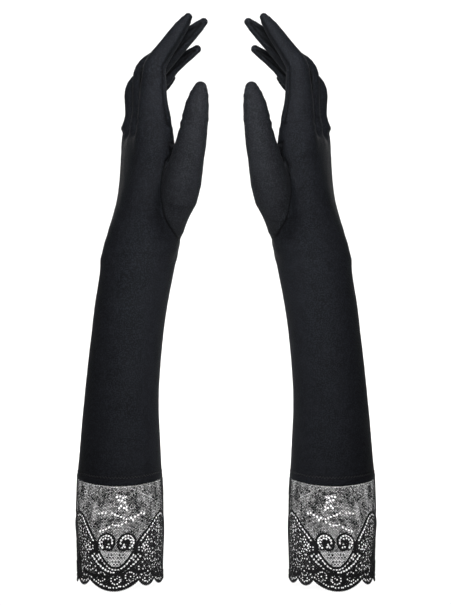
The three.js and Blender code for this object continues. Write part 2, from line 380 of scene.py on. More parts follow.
def surface_net(field):
    """Quads round the places where the field changes sign, one point per mixed cell."""
    inside = field < 0
    shape = np.array(field.shape) - 1
    corners = [(a, b, c) for a in (0, 1) for b in (0, 1) for c in (0, 1)]

    def corner(grid, a, b, c):
        return grid[a:shape[0] + a, b:shape[1] + b, c:shape[2] + c]

    count = sum(corner(inside, *k).astype(np.int8) for k in corners)
    mixed = (count > 0) & (count < 8)
    index = np.full(mixed.shape, -1, int)
    cells = np.argwhere(mixed)
    index[mixed] = np.arange(len(cells))
    total = np.zeros((len(cells), 3))
    hits = np.zeros(len(cells))
    for p in corners:
        for axis in range(3):
            if p[axis]:
                continue
            q = tuple(v + (k == axis) for k, v in enumerate(p))
            fp = field[tuple((cells + p).T)]
            fq = field[tuple((cells + q).T)]
            cross = (fp < 0) != (fq < 0)
            t = np.where(cross, fp / np.where(cross, fp - fq, 1), 0)
            spot = np.array(p, float) + t[:, None] * (np.array(q) - np.array(p))
            total += spot * cross[:, None]
            hits += cross
    points = GRID_LOW + CELL * (cells + total / hits[:, None])
    quads = []
    for axis in range(3):
        u, v = (axis + 1) % 3, (axis + 2) % 3
        step = np.zeros(3, int)
        step[axis] = 1
        start = inside[tuple(slice(0, n - s) for n, s in zip(inside.shape, step))]
        end = inside[tuple(slice(s, n) for n, s in zip(inside.shape, step))]
        edges = np.argwhere(start != end)
        keep = (edges[:, u] > 0) & (edges[:, v] > 0)
        keep &= (edges[:, u] < shape[u]) & (edges[:, v] < shape[v])
        edges = edges[keep]
        ring = []
        for du, dv in ((1, 1), (0, 1), (0, 0), (1, 0)):
            cell = edges.copy()
            cell[:, u] -= du
            cell[:, v] -= dv
            ring.append(index[tuple(cell.T)])
        quad = np.stack(ring, axis=1)
        leaving = start[tuple(edges.T)]
        quads.append(np.where(leaving[:, None], quad, quad[:, ::-1]))
    return points, np.concatenate(quads)


def edges_of(quads):
    """The two ends of every side of every quad."""
    return np.stack([quads.ravel(), np.roll(quads, -1, axis=1).ravel()])


def gradient(points, field=glove_field, step=0.05):
    """The field at each point, and which way it grows."""
    at = [points[:, k] for k in range(3)]
    here = field(*at)
    out = np.zeros_like(points)
    for k in range(3):
        moved = list(at)
        moved[k] = moved[k] + step
        out[:, k] = (field(*moved) - here) / step
    return here, out


def onto_skin(points, rounds, keep_z=None):
    """Moves points to where the field is zero; the height of those in keep_z stays."""
    for _ in range(rounds):
        here, slope = gradient(points)
        if keep_z is not None:
            slope[keep_z, 2] = 0
        step = slope * (here / np.maximum((slope ** 2).sum(axis=1), 1e-6))[:, None]
        length = np.linalg.norm(step, axis=1, keepdims=True)
        points = points - step * np.minimum(1, 1.0 / np.maximum(length, 1e-9))
    return points


def relax(points, quads, fixed, rounds):
    """Evens the net out along the surface, all but its fixed points."""
    sides = edges_of(quads)
    pairs = np.concatenate([sides, sides[::-1]], axis=1)
    count = np.bincount(pairs[0], minlength=len(points))[:, None]
    for _ in range(rounds):
        mean = np.stack(
            [np.bincount(pairs[0], points[pairs[1], k], len(points)) for k in range(3)], axis=1
        ) / np.maximum(count, 1)
        moved = points + 0.5 * (mean - points)
        moved[fixed] = points[fixed]
        points = onto_skin(moved, 1, keep_z=fixed)
    return points


# ---------------------------------------------------------------- seams and regions

# The set-in seam of the thumb, on the side away from the fingers (x, z), then the palm (y, z)
THUMB_SEAM_SIDE = [
    (48.5, 276.4), (43.1, 282.4), (38.7, 290.0), (35.4, 302.0), (34.3, 310.0), (34.2, 318.0),
    (35.4, 328.0), (38.9, 338.7), (43.3, 346.6), (46.2, 350.8),
]
THUMB_SEAM_PALM = [
    (-35.0, 352.0), (-25.0, 347.0), (-13.0, 337.0), (-5.0, 323.0), (-1.0, 308.0),
    (-2.0, 294.0), (-6.0, 283.0), (-10.0, 277.0),
]
THUMB_EYE = np.array([30.0, -14.0, 314.0])       # a place inside the hand that sees the whole seam
THUMB_OPEN = (344, 353)                           # the heights where the thumb parts from the hand
STRIP_HALF = math.radians(27)                     # half of a finger strip's way round its finger
FINGER_SEAM = -math.radians(42)                   # a seam along the palm edge of the forefinger
BACK_SEAM = math.radians(120)                     # where that finger's panel ends at its back


def rounded_loop(points, count):
    """A closed smooth curve through the points, evenly spaced."""
    points = np.array(points)
    n = len(points)
    t = np.linspace(0, n, count * 4, endpoint=False)
    i = t.astype(int)
    curve = spline(*(points[(i + k) % n] for k in (-1, 0, 1, 2)), (t - i)[:, None])
    curve = np.concatenate([curve, curve[:1]])
    return walk(curve, np.linspace(0, lengths(curve)[-1], count, endpoint=False))


def first_skin(field, places):
    """The first of the places that is inside the field."""
    return places[np.argmax(field(places) < 0)]


def thumb_seam():
    """The thumb's set-in seam as a closed loop of points on the skin."""
    side = [(x, first_skin(lambda y: glove_field(x, y, z), np.linspace(-70, 0, 351)), z)
            for x, z in THUMB_SEAM_SIDE]
    palm = [(first_skin(lambda x: glove_field(x, y, z), np.linspace(80, 20, 301)), y, z)
            for y, z in THUMB_SEAM_PALM]
    return onto_skin(rounded_loop(side + palm, 260), 4)


def inside_loop(points, loop, eye):
    """Which points lie inside a loop as it is seen from the eye."""
    way = unit(loop.mean(axis=0) - eye)
    u = unit(np.cross(way, [0, 0, 1.0]))
    v = np.cross(way, u)

    def flat(p):
        d = p - eye
        depth = d @ way
        return np.stack([d @ u, d @ v], axis=1) / np.maximum(depth, 1e-3)[:, None], depth

    ring, _ = flat(loop)
    spots, depth = flat(points)
    inside = np.zeros(len(points), bool)
    for (ax, ay), (bx, by) in zip(ring, np.roll(ring, -1, axis=0)):
        if ay == by:
            continue
        cross = (ay > spots[:, 1]) != (by > spots[:, 1])
        inside ^= cross & (spots[:, 0] < ax + (spots[:, 1] - ay) * (bx - ax) / (by - ay))
    return inside & (depth > 0)


HAND, THUMB = 0, 1


def finger_code(number, part, strip):
    """part 0 is below the middle joint, 1 above; strip -1 thumb side, 1 little side, 0 and 2 body."""
    return 10 + number * 20 + part * 8 + {0: 0, 2: 1, -1: 2, 1: 3}[strip]


def strip_half(finger, s):
    """Half the strip's angle at distance s: it narrows to nothing over the last 16 mm."""
    left = np.clip((finger.along[-1] - 1.0 - s) / 16.0, 0, 1)
    return STRIP_HALF * np.sqrt(left) + 1e-6


def split_at(finger):
    """Where the piece below the middle joint ends."""
    bend = np.linalg.norm(finger.bend - finger.base)
    return finger.along[1] + 0.5 * (bend + 7.5)


def name_regions(points, seam):
    """A region number for each point of the skin."""
    x, y, z = points.T
    code = np.full(len(points), HAND)
    near_thumb = inside_loop(points, seam, THUMB_EYE) & (z < THUMB_OPEN[1]) & (x > 26)
    near_thumb |= (thumb_field(x, y, z) < hand_field(x, y, z)) & (z > THUMB_OPEN[0])
    code[near_thumb] = THUMB
    nearest = np.argmin([finger.field(x, y, z) for finger in FINGERS], axis=0)
    for number, finger in enumerate(FINGERS):
        mine = (nearest == number) & (z > RING_Z) & ~near_thumb
        s, angle = finger.place(points[mine])
        part = (s > split_at(finger)).astype(int)
        strip = np.zeros(len(s), int)
        if finger.name == "index":
            strip[(angle < FINGER_SEAM) & (angle > -math.pi)] = 2
            strip[angle > BACK_SEAM] = 2
        for side in finger.strips:
            on = np.abs(angle - side * math.pi / 2) < strip_half(finger, s)
            strip[on & (s < finger.along[-1] - 2.0)] = side
        code[mine] = [finger_code(number, p, k) for p, k in zip(part, strip)]
    return code


def snap_borders(points, quads, codes, seam):
    """Moves the points between regions onto the true seam lines.

    Returns the points, which of them are on a border, and which of them are on a sewn seam.
    """
    count = len(points)
    low = np.full(count, 10 ** 6)
    high = np.full(count, -1)
    for k in range(4):
        np.minimum.at(low, quads[:, k], codes)
        np.maximum.at(high, quads[:, k], codes)
    on_border = low != high
    sewn = np.zeros(count, bool)
    moved = points.copy()
    pick = np.nonzero(on_border & (low == HAND) & (high == THUMB))[0]
    gap = np.linalg.norm(points[pick][:, None] - seam[None], axis=2)
    close = gap.min(axis=1) < 2.2
    moved[pick[close]] = seam[gap.argmin(axis=1)[close]]
    sewn[pick] = True
    ring = np.nonzero(on_border & (low <= THUMB) & (high >= 10))[0]
    moved[ring, 2] = RING_Z
    for number, finger in enumerate(FINGERS):
        first = 10 + number * 20
        pick = np.nonzero(on_border & (low >= first) & (high < first + 20))[0]
        if not len(pick):
            continue
        s, angle = finger.place(points[pick])
        lo, hi = low[pick] - first, high[pick] - first
        across = (lo // 8) != (hi // 8)
        s = np.where(across, split_at(finger), s)
        kinds = np.stack([lo % 8, hi % 8])
        strip = kinds.max(axis=0)
        for side, kind in ((-1, 2), (1, 3)):
            mine = (strip == kind) & (kinds.min(axis=0) != kind)
            off = angle - side * math.pi / 2
            off = (off + math.pi) % (2 * math.pi) - math.pi
            edge = np.where(off > 0, 1, -1) * strip_half(finger, s) + side * math.pi / 2
            far_end = s > finger.along[-1] - 3.0
            angle = np.where(mine & ~far_end, edge, angle)
        plain = (kinds.max(axis=0) == 1) & (kinds.min(axis=0) == 0)
        front = plain & (np.abs(angle - FINGER_SEAM) < 0.6)
        angle = np.where(front, FINGER_SEAM, angle)
        moved[pick] = finger.on_skin(s, angle)
        sewn[pick] = (kinds.max(axis=0) != kinds.min(axis=0)) & (~plain | front)
    near = np.linalg.norm(moved - points, axis=1) < 1.4 * CELL
    points = np.where(near[:, None], moved, points)
    return points, on_border, sewn


# ---------------------------------------------------------------- creases and folds

def ripple(points, scale, seed, count=7):
    """A slow, smooth wave over space, between about -1 and 1."""
    rng = np.random.default_rng(seed)
    total = np.zeros(len(points))
    for _ in range(count):
        way = unit(rng.normal(size=3))
        length = scale * rng.uniform(0.7, 1.6)
        total += np.sin(2 * math.pi * (points @ way) / length + rng.uniform(0, 6.28))
    return total / math.sqrt(count)


def hump(x, middle, width):
    """1 at the middle, fading to nothing over about twice the width."""
    return np.exp(-((x - middle) / width) ** 2)


SEAM_DEPTH = 0.60        # how deep the sewn seams lie in the fabric


def folds(points):
    """How far the skin stands out of its smooth shape, in millimetres."""
    x, y, z = points.T
    out = 0.16 * ripple(points, 34, 3) + 0.05 * ripple(points, 9, 4)
    wrist = hump(z, 266, 16)
    out += 0.38 * wrist * ripple(points * [0.5, 0.5, 1.6], 22, 5)
    finger_bases = hump(z, RING_Z + 2, 7)
    out += 0.30 * finger_bases * ripple(points * [1, 1, 2.2], 11, 6)
    back_of_hand = np.clip((16 - x) / 10, 0, 1)
    out += 2.1 * back_of_hand * hump(z - 0.05 * y, 368.8, 5.6)
    for finger in FINGERS:
        near = np.linalg.norm(points - finger.bend, axis=1) < 22
        s, angle = finger.place(points[near])
        inner = 0.5 + 0.5 * np.cos(angle)
        bend = finger.along[1] + np.linalg.norm(finger.bend - finger.base) - 2
        wave = np.cos((s - bend) * 2 * math.pi / 4.6) * hump(s, bend, 6.5)
        out[near] -= 0.28 * wave * inner ** 1.5
    return out


def build_skin():
    """The whole hand as one net: points, normals, quads, their regions and the seam weights, which set the
    seams' grooves and the painted shade along them.
    """
    points, quads = surface_net(sample_field())
    seam = thumb_seam()
    edge = open_edge_points(quads, len(points))
    points[edge, 2] = JOIN_Z
    points = onto_skin(points, 3, keep_z=edge)
    points = relax(points, quads, edge, 2)
    codes = name_regions(points[quads].mean(axis=1), seam)
    points, border, sewn = snap_borders(points, quads, codes, seam)
    border |= edge
    points = onto_skin(points, 2, keep_z=border)
    points = relax(points, quads, border, 3)
    _, slope = gradient(points)
    slope[edge, 2] = gradient(points[edge])[1][:, 2]
    normals = unit(slope)
    # weights on the sewn seams and their neighbours: they sink the seams into grooves and paint shade along
    # them through the seam attribute
    seam_groove_and_shade = sewn.astype(float)
    a, b = edges_of(quads)
    near = np.zeros(len(points))
    np.maximum.at(near, a, seam_groove_and_shade[b])
    np.maximum.at(near, b, seam_groove_and_shade[a])
    seam_groove_and_shade = np.maximum(seam_groove_and_shade, 0.35 * near)
    points = points + normals * (folds(points) - SEAM_DEPTH * seam_groove_and_shade)[:, None]
    return points, quads, codes, seam_groove_and_shade


def open_edge_points(quads, count):
    """The points along the open lower edge of the net."""
    sides, times = np.unique(np.sort(edges_of(quads).T, axis=1), axis=0, return_counts=True)
    flags = np.zeros(count, bool)
    flags[sides[times == 1]] = True
    return flags


def point_normals(points, quads):
    a, b, c, d = (points[quads[:, k]] for k in range(4))
    across = np.cross(c - a, d - b)
    total = np.zeros_like(points)
    for k in range(4):
        np.add.at(total, quads[:, k], across)
    return total / np.maximum(np.linalg.norm(total, axis=1, keepdims=True), 1e-12)


# ---------------------------------------------------------------- Blender helpers

def add_mesh(side, name, points, faces, material, normals=None):
    """A mesh from points in a glove's own millimetres; the right glove is mirrored."""
    faces = np.array(faces)
    if side == "right":
        faces = faces[:, ::-1]
    mesh = bpy.data.meshes.new(f"{side}_{name}")
    mesh.from_pydata(to_world(points, side).tolist(), [], faces.tolist())
    mesh.shade_smooth()
    if normals is not None:
        mirror = [-1, 1, 1] if side == "right" else [1, 1, 1]
        mesh.normals_split_custom_set_from_vertices((normals * np.array(mirror)).tolist())
    mesh.materials.append(material)
    return linked(f"{side}_{name}", mesh)


def linked(name, data):
    """A new object in the scene."""
    thing = bpy.data.objects.new(name, data)
    bpy.context.scene.collection.objects.link(thing)
    return thing


def add_values(piece, name, values):
    attribute = piece.data.attributes.new(name, "FLOAT", "POINT")
    attribute.data.foreach_set("value", np.array(values, np.float32))


def take(quads, chosen, *arrays):
    """The chosen quads with only the points they use."""
    part = quads[chosen]
    used, flat = np.unique(part, return_inverse=True)
    return flat.reshape(part.shape), [a[used] for a in arrays]


# ---------------------------------------------------------------- materials

class Shader:
    """A small helper for building node materials."""

    def __init__(self, name):
        self.material = bpy.data.materials.new(name)
        self.material.use_nodes = True
        self.nodes = self.material.node_tree.nodes

    def add(self, kind, **values):
        node = self.nodes.new(kind)
        for key, value in values.items():
            setattr(node, key, value)
        return node

    def feed(self, socket, value):
        """Joins a node's output to a socket, or sets the socket to a fixed value."""
        if isinstance(value, bpy.types.NodeSocket):
            self.material.node_tree.links.new(value, socket)
        else:
            socket.default_value = value

    def math(self, operation, *values):
        node = self.add("ShaderNodeMath", operation=operation)
        for socket, value in zip(node.inputs, values):
            self.feed(socket, value)
        return node.outputs[0]

    def mapped(self, value, low, high, to_low, to_high):
        node = self.add("ShaderNodeMapRange")
        for key, number in (("Value", value), ("From Min", low), ("From Max", high),
                            ("To Min", to_low), ("To Max", to_high)):
            self.feed(node.inputs[key], number)
        return node.outputs["Result"]

    def place(self):
        return self.add("ShaderNodeTexCoord").outputs["Object"]

    def noise(self, scale, detail):
        node = self.add("ShaderNodeTexNoise")
        for key, value in (("Scale", scale), ("Detail", detail), ("Vector", self.place())):
            self.feed(node.inputs[key], value)
        return node.outputs["Fac"]

    def mix(self, amount, first, second):
        node = self.add("ShaderNodeMix", data_type="RGBA")
        self.feed(node.inputs["Factor"], amount)
        self.feed(node.inputs[6], first)
        self.feed(node.inputs[7], second)
        return node.outputs[2]

    def bump(self, height, strength, distance):
        node = self.add("ShaderNodeBump")
        for key, value in (("Height", height), ("Strength", strength), ("Distance", distance)):
            self.feed(node.inputs[key], value)
        return node.outputs["Normal"]

    def finish(self, values):
        for key, value in values.items():
            self.feed(self.nodes["Principled BSDF"].inputs[key], value)
        return self.material


def shade(colour, factor):
    return (*(factor * c for c in colour), 1)


def knit_height(shader, pitch):
    """A fine knit in the fabric: loops across and ribs along, seen from any side."""
    axes = shader.add("ShaderNodeSeparateXYZ")
    shader.feed(axes.inputs[0], shader.place())
    turn = 2 * math.pi / (pitch * MM)
    x, y, z = (shader.math("SINE", shader.math("MULTIPLY", axis, rate))
               for axis, rate in zip(axes.outputs, (turn, turn, turn * 1.25)))
    return shader.math("MULTIPLY", shader.math("ADD", x, y), z)


def stretch_fabric(name, colour, rough, sheen):
    """Black stretch knit: slow cloudiness, a grain of lighter fibres and painted shade along the seam lines.
    """
    shader = Shader(name)
    grain = shader.noise(1020.0, 1.0)
    cloudy = shader.mapped(shader.noise(60.0, 3.0), 0.3, 0.7, 0.0, 1.0)
    base = shader.mix(cloudy, shade(colour, 0.82), shade(colour, 1.28))
    fibres = shader.math("MULTIPLY", shader.mapped(grain, 0.45, 0.65, 0.0, 1.0), 0.85)
    base = shader.mix(fibres, base, shade(colour, 3.3))
    # painted shade: along the seams the colour falls to nearly black, standing in for the shade in their
    # grooves
    seam = shader.add("ShaderNodeAttribute", attribute_name="seam").outputs["Fac"]
    base = shader.mix(shader.math("MULTIPLY", seam, 0.95), base, shade(colour, 0.05))
    height = shader.math("ADD", shader.math("MULTIPLY", knit_height(shader, 0.62), 0.5), grain)
    return shader.finish({
        "Base Color": base,
        "Roughness": shader.mapped(grain, 0.3, 0.7, rough - 0.06, rough + 0.08),
        "Sheen Weight": sheen,
        "Sheen Roughness": 0.38,
        "Sheen Tint": (0.60, 0.62, 0.66, 1),
        "Specular IOR Level": 0.035,
        "Normal": shader.bump(height, 0.4, 0.0002),
    })


def yarn(name, colour, rough, sheen):
    """Matt twisted thread for the lace and the stitching."""
    shader = Shader(name)
    grain = shader.noise(2600.0, 1.0)
    cloudy = shader.mapped(shader.noise(180.0, 2.0), 0.3, 0.7, 0.0, 1.0)
    return shader.finish({
        "Base Color": shader.mix(cloudy, shade(colour, 0.75), shade(colour, 1.35)),
        "Roughness": rough,
        "Sheen Weight": sheen,
        "Specular IOR Level": 0.10,
        "Normal": shader.bump(grain, 0.4, 0.00015),
    })


FABRIC = stretch_fabric("stretch fabric", (0.0024, 0.0027, 0.0034), 0.68, 0.004)
# The thumb's panel is a lighter copy of the fabric: painted light where the light falls on the thumb.
LIT_PANEL = stretch_fabric("panel fabric", (0.0034, 0.0037, 0.0044), 0.66, 0.005)
# The strips between the fingers are a darker copy of the fabric: painted shade in the valleys between the
# fingers.
SHADED_STRIP = stretch_fabric("strip fabric", (0.0016, 0.0018, 0.0022), 0.74, 0.0)
LACE_YARN = yarn("lace yarn", (0.0034, 0.0034, 0.0038), 0.8, 0.02)
THREAD = yarn("stitching thread", (0.006, 0.0062, 0.007), 0.6, 0.05)


# ---------------------------------------------------------------- the gloves

# Zones across the joints: from one end of a zone to the other
WRIST_ZONE = (12, 0, 238), (12, 0, 275.5)
THUMB_ZONE = (58, -48, 349), (58, -48, 365)
KNUCKLE_ZONE = 13.5
BEND_ZONE = 9.0          # each side of the middle joint


def zone(ends, side):
    return [one_to_world(end, side) for end in ends]


def finger_zones(finger, side):
    """Blend zones across the knuckle and the middle joint as pairs of points in metres."""
    knuckle = [(*finger.base[:2], RING_Z + rise) for rise in (0, KNUCKLE_ZONE)]
    tilt = unit(finger.low_way + finger.high_way)
    bend = [finger.bend + reach * tilt for reach in (-BEND_ZONE, BEND_ZONE)]
    return zone(knuckle, side), zone(bend, side)


def cut_pieces(side, skin):
    """The hand, thumb, fingers and the strips between them, each cut as its own piece."""
    points, quads, codes, seam_groove_and_shade, normals = skin

    def cut(name, chosen, material, *nodes):
        faces, (spots, ways, seam) = take(quads, chosen, points, normals, seam_groove_and_shade)
        piece = add_mesh(side, name, spots, faces, material, ways)
        # the seam attribute carries the painted shade along the seams
        add_values(piece, "seam", seam)
        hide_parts(*[f"{side}_{node}" for node in nodes])
        return piece

    hand = cut("hand_skin", codes == HAND, FABRIC, "hand", "wrist")
    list(zone(WRIST_ZONE, side))
    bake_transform(hand)
    # the thumb wears the lighter copy of the fabric: painted light
    thumb = cut("thumb_skin", codes == THUMB, LIT_PANEL, "thumb_panel", "thumb_stall", "thumb_crease")
    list(zone(THUMB_ZONE, side))
    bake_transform(thumb)
    for number, finger in enumerate(FINGERS):
        name = finger.name
        knuckle, bend = finger_zones(finger, side)
        for part, word in ((0, "lower"), (1, "upper")):
            body = [finger_code(number, part, k) for k in (0, 2)]
            nodes = (f"{name}_base",) if part == 0 else (f"{name}_crease", f"{name}_stall")
            made = [(cut(f"{name}_{word}_skin", np.isin(codes, body), FABRIC, *nodes), "fabric")]
            for strip in finger.strips:
                way = "thumb_side" if strip < 0 else "little_side"
                node = f"{name}_fourchette_{way}"
                chosen = codes == finger_code(number, part, strip)
                # the strips wear the darker copy of the fabric: painted shade between the fingers
                piece = cut(f"{name}_{word}_strip_{way}", chosen, SHADED_STRIP, node)
                made.append((piece, "panel_fabric"))
            for piece, finish in made:
                if part == 0:
                    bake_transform(piece)
                else:
                    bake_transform(piece)


def sleeve_point(angle, z, inset=0.0):
    """A point on the arm's tube; angle is from the palm side towards the little finger."""
    centre, thick, wide, lean, _ = (f(z) for f in BODY)
    y = (wide - inset) * np.sin(angle)
    return np.stack([centre + lean * y + (thick - inset) * np.cos(angle), y, z], axis=-1)


def hem_rise(angle, z):
    """How far the sleeve near its hem follows the hem's rise and dip."""
    return hem_dip(angle + math.pi / 2) * np.maximum(0.0, 1 - (z - HEM_Z) / 45) ** 2


def sleeve_skin(angle, z, out=0.0):
    """The sleeve's outer surface, with its folds and the swell of its hem."""
    ring = sleeve_point(angle, z + hem_rise(angle, z))
    normal = unit(gradient(ring, body_field)[1])
    hem = 0.35 * hump(z, HEM_Z + 3.0, 2.2)
    return ring + normal * (folds(ring) + hem + out)[:, None]


def tube_faces(rings, sides):
    """The quads between neighbouring rings of points."""
    i, k = np.meshgrid(np.arange(rings - 1) * sides, np.arange(sides), indexing="ij")
    j = (k + 1) % sides
    return np.stack([i + k, i + j, i + sides + j, i + sides + k], axis=-1).reshape(-1, 4)


def on_arm(side, name, points, faces, material, slot, node, normals=None):
    """A piece that rides on the arm and shows instead of one CAD node."""
    piece = add_mesh(side, name, points, faces, material, normals)
    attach(piece, f"{side}_arm")
    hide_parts(f"{side}_{node}")
    return piece


def thread_rods(starts, ends, half):
    """Short straight stitches, each a four-sided rod with pointed ends."""
    way = unit(ends - starts)
    flat = unit(np.cross(way, [0.31, 0.22, 0.92]))
    up = np.cross(way, flat)
    rings = []
    for t, wide in ((0.0, 0.25), (0.18, 1.0), (0.82, 1.0), (1.0, 0.25)):
        middle = starts + t * (ends - starts)
        corners = [middle + half * wide * (a * flat + b * up)
                   for a, b in ((1, 0), (0, 1), (-1, 0), (0, -1))]
        rings.append(np.stack(corners, axis=1))
    points = np.stack(rings, axis=1).reshape(-1, 3)
    one = [*tube_faces(4, 4), [3, 2, 1, 0], [12, 13, 14, 15]]
    first = np.arange(len(starts))[:, None] * 16
    return points, np.concatenate([first + quad for quad in one])


def build_stitching(side):
    """The zigzag that holds the lace under the hem, and the stitches of the arm seam."""
    count = 2 * 82
    turn = np.linspace(0, 2 * math.pi, count + 1)
    z = HEM_Z + 6.6 + 0.85 * (-1.0) ** np.arange(count + 1)
    zigzag = sleeve_skin(turn, z, 0.10)
    z = np.arange(HEM_Z + 9.5, JOIN_Z - 1.5, 2.9)
    seam = [sleeve_skin(np.full(len(z), math.pi / 2 + 0.028), z + k, 0.08) for k in (0, 2.1)]
    made = [("cuff_seam_stitches", zigzag[:-1], zigzag[1:], "cuff_seam"),
            ("arm_seam_stitches", *seam, "arm_seam")]
    for name, starts, ends, node in made:
        on_arm(side, name, *thread_rods(starts, ends, 0.17), THREAD, "thread", node)


def build_arm(side):
    """The plain sleeve from the hem to the wrist, with its hem turned up inside."""
    count = 288
    turn = round_turn(count)
    heights = np.linspace(HEM_Z + 0.6, JOIN_Z, 126)
    rows = [sleeve_skin(turn, np.full(count, z)) for z in heights]
    rows += [sleeve_point(turn, z + hem_rise(turn, z), 0.8)
             for z in heights[heights < HEM_Z + TURN_UP][::-1]]
    rows.append(rows[0] * [0.99, 0.99, 1] - [0, 0, 0.35])
    points = np.concatenate(rows)
    faces = tube_faces(len(rows) + 1, count) % len(points)
    top = (len(heights) - 1) * count + np.arange(count)
    faces = np.delete(faces, top, axis=0)
    normals = point_normals(points, faces)
    normals[top] = gradient(points[top])[1]
    normals = unit(normals)
    # painted shade along the hem's stitch line and the side seam: the seam attribute darkens the fabric there
    above = points[:, 2] - HEM_Z - hem_dip(np.arctan2(points[:, 0], -points[:, 1])) * 0.72
    hem_line_shade = hump(above, 7.0, 0.5)
    back = np.arctan2(points[:, 1], points[:, 0] - 4)
    arm_seam = hump(30 * back, 30 * math.pi / 2, 0.7)
    piece = on_arm(side, "arm_skin", points, faces, FABRIC, "fabric", "arm", normals)
    add_values(piece, "seam", np.maximum(hem_line_shade, arm_seam))


# ---------------------------------------------------------------- the lace cuffs
#
# The lace is drawn on the unrolled cuff: u is the distance round it in millimetres from the middle
# of the main motif, and z is the height. The pattern leans a little, as the trim does on the arm.

CUFF_ROUND = 216.8       # the way round the cuff
# Where the motif's middle is at each height, in degrees from straight ahead
LEAN = smooth_curve([0, 20, 40, 62, 84], [-4.1, -2.5, -0.9, 5.5, 10.2])
PER_DEGREE = CUFF_ROUND / 360
NET_COLUMNS = 174
NET_PITCH = CUFF_ROUND / NET_COLUMNS
NET_ROW = NET_PITCH * math.sqrt(3) / 2
FRONT = 64               # the worked front of the lace reaches this far each side of its middle
SCALLOPS = [-70.0, -54.0, -38.2, -22.1, 19.6, 35.9, 52.8, 70.0, 87.4, 104.8, 146.8]
LACE_TOP = 84.2
LACE_THICK = smooth_curve([0, 30, 66, 84], [33.9, 34.6, 35.0, 34.4])
LACE_WIDE = smooth_curve([0, 30, 66, 84], [33.8, 34.3, 34.7, 34.1])
CLOTH_TOP = [
    (0, 19.0), (4.2, 20.2), (8.5, 24.2), (11.8, 28.8), (14.0, 32.2), (16.5, 36.1), (18.0, 40.7),
    (20.5, 44.6), (24.0, 48.3), (28.2, 53.4), (32.0, 57.6), (35.0, 59.5), (38.0, 60.4),
    (41.5, 60.0), (46.0, 56.5), (52.0, 48.0), (57.0, 38.0), (61.0, 27.0), (64.5, 15.0),
]
VOLUTE = [
    (14.0, 32.6), (15.2, 35.6), (15.5, 38.8), (14.3, 42.2), (11.5, 45.1), (7.8, 46.3), (4.2, 45.1),
    (1.8, 42.2), (1.4, 38.7), (2.3, 35.4), (4.6, 33.3), (7.3, 33.5), (8.9, 35.5), (9.9, 37.6),
    (10.1, 39.0), (9.3, 39.5),
]
VOLUTE_MIDDLE = (8.5, 39.7)
# Eyelets round the volute: their radius, how far out they are and at which angles
VOLUTE_ROWS = [(0.97, 5.2, range(-62, 190, 25)), (0.86, 3.0, range(-50, 170, 44))]
CURL_HOLES = [(5.0, 35.3), (7.0, 35.7), (6.0, 37.7)]
MEDALLIONS = [
    (-11.5, 11.9), (0.6, 9.9), (11.9, 12.3), (28.0, 15.2), (44.2, 16.4), (33.0, 26.0),
    (-28.0, 15.2), (-44.2, 16.4), (-33.0, 26.0),
]
STARS = [(24.8, 34.2), (36.6, 47.5), (48.5, 33.5)]       # rings of six eyelets in the hills
SPRIGS = [
    # middle u and z, half length, half width, direction in degrees
    (7.4, 71.5, 5.2, 3.6, 60), (14.8, 68.3, 5.6, 2.2, -20), (-13.9, 70.6, 6.0, 2.6, 15),
    (-22.6, 73.6, 4.8, 2.2, -30), (-17.2, 53.0, 5.6, 2.7, 60), (-9.6, 55.6, 4.6, 2.2, -35),
    (-3.0, 57.6, 4.4, 1.8, 10), (10.6, 63.4, 5.0, 1.9, 35), (20.8, 56.2, 5.2, 2.4, -50),
    (26.6, 66.6, 5.0, 2.3, 70), (30.6, 74.2, 5.6, 2.2, 10), (-31.2, 66.0, 5.2, 2.2, 40),
    (0.8, 79.4, 5.6, 1.6, 5), (-37.6, 74.6, 5.4, 2.3, -60), (39.6, 69.4, 5.2, 2.2, -30),
    (13.8, 51.2, 4.2, 2.1, -70), (-27.0, 60.6, 3.6, 1.7, -10), (20.0, 78.0, 5.4, 2.0, -15),
    (-12.6, 79.6, 5.0, 1.8, 8), (-49.0, 68.0, 5.8, 2.4, 65), (49.5, 74.0, 5.4, 2.2, 40),
    (62.0, 60.0, 5.6, 2.4, -35), (-60.0, 58.0, 5.6, 2.3, 20), (74.0, 70.0, 5.8, 2.4, 60),
    (-72.0, 72.0, 5.4, 2.2, -50), (86.0, 50.0, 5.4, 2.3, 25), (-86.0, 46.0, 5.6, 2.3, -25),
    (98.0, 68.0, 5.6, 2.4, -60), (-99.0, 66.0, 5.2, 2.2, 45), (104.0, 38.0, 5.0, 2.1, 5),
]
NET_HOLES = [
    (-5.0, 76.0), (-2.7, 76.4), (-0.3, 75.3), (2.0, 75.6), (-3.5, 73.4), (-0.9, 73.0), (1.3, 71.5),
    (-1.0, 68.8), (1.4, 67.2), (-2.4, 66.9), (3.6, 68.0), (0.6, 65.1), (3.5, 65.4),
    (-7.3, 62.7), (-4.9, 61.7), (-2.4, 60.8), (0.1, 60.0), (2.4, 58.9), (4.6, 58.0),
    (8.1, 59.0), (11.0, 59.4), (13.7, 60.7), (16.2, 62.0), (18.5, 61.2), (9.9, 56.9),
    (-17.9, 61.9), (-15.2, 62.5), (-12.2, 62.6), (-14.4, 48.2), (-11.9, 48.9), (-9.6, 49.8),
    (-7.6, 51.5), (-5.3, 53.6), (-2.9, 53.2), (-0.6, 52.9), (1.8, 53.9), (4.6, 55.6),
]


def scallop(u):
    """Height of the lace's cut edge at u, which may run all the way round."""
    edges = np.array(SCALLOPS)
    u = (np.asarray(u, float) - edges[0]) % CUFF_ROUND + edges[0]
    i = np.clip(np.searchsorted(edges, u, side="right") - 1, 0, len(edges) - 2)
    half = (edges[i + 1] - edges[i]) / 2
    middle = (edges[i + 1] + edges[i]) / 2
    depth = np.where(half > 15, 8.4, 5.0)
    bend = (half ** 2 + depth ** 2) / (2 * depth)
    lowest = np.where(half > 15, 1.0, 4.4)
    return lowest + bend - np.sqrt(np.maximum(bend ** 2 - (u - middle) ** 2, 0))


